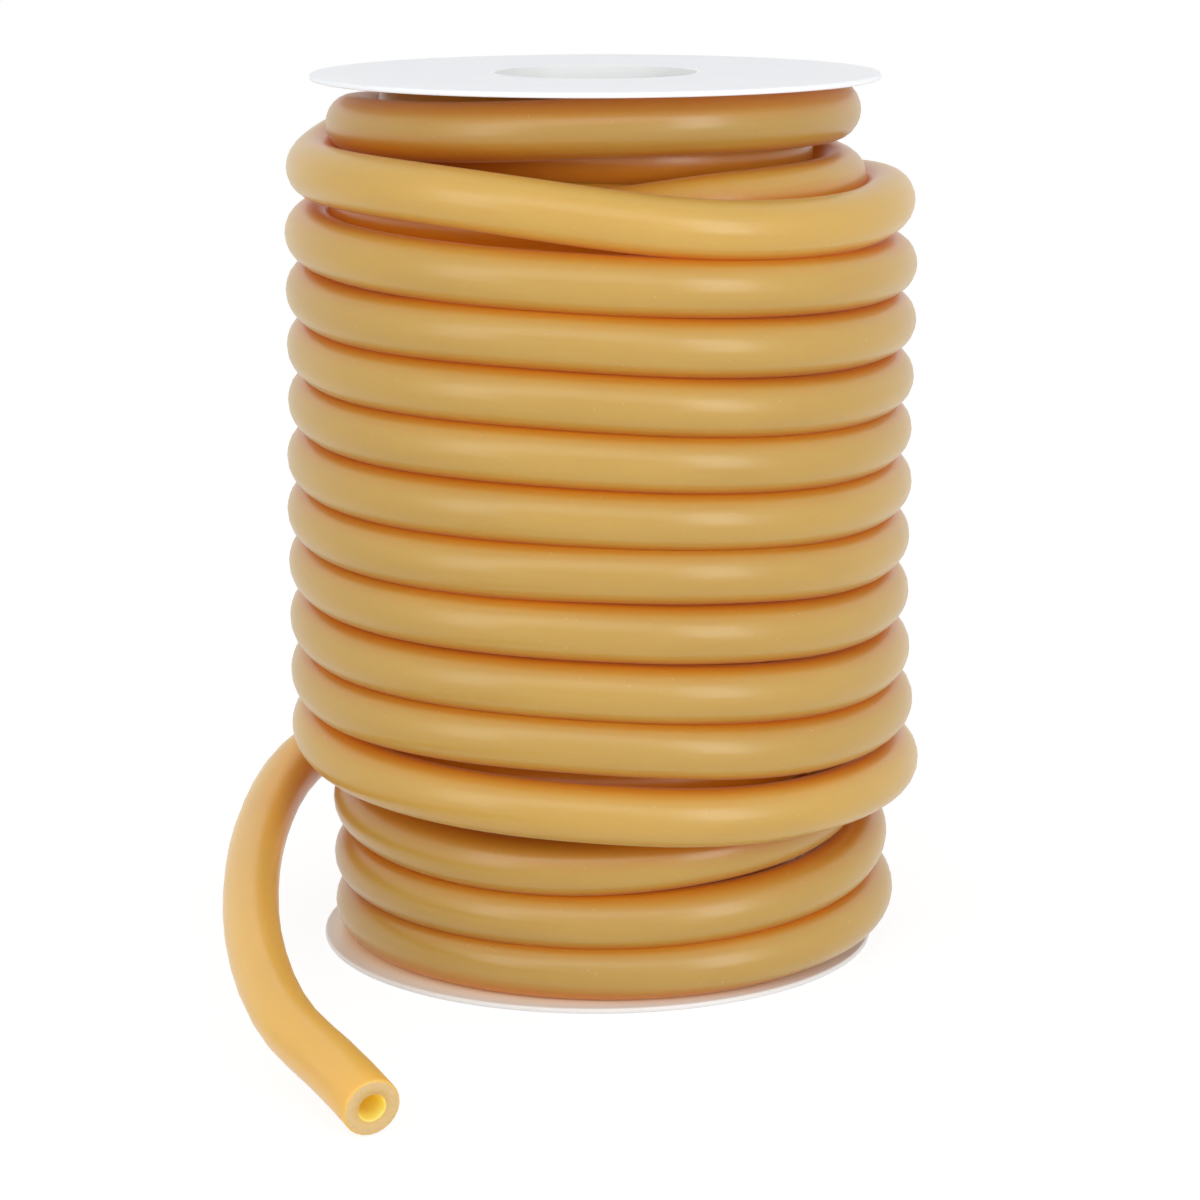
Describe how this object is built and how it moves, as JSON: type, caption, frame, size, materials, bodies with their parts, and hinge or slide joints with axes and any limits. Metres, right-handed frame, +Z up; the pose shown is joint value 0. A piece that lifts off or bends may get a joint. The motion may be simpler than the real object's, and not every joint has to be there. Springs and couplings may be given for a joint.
{
  "type": "rubber tubing on a spool",
  "caption": "Amber latex rubber tubing wound in layers on a plain white plastic spool, with one free cut end, for drawing off lengths of hose.",
  "frame": {"origin": "centre of the lower flange's underside, on the spool's axis", "axes": "+Z up along the spool's axis, -Y the front, where the tubing's free end comes forward"},
  "size_m": [0.141, 0.1934, 0.178],
  "materials": {
    "spool": "white moulded plastic, low gloss",
    "core": "off-white plastic, matt",
    "tubing": "amber natural latex, translucent, satin"
  },
  "bodies": {
    "root": {"bottom_flange": "spool", "top_flange": "spool", "core_tube": "core", "tubing_coil": "tubing", "tubing_tail": "tubing"}
  },
  "joints": []
}
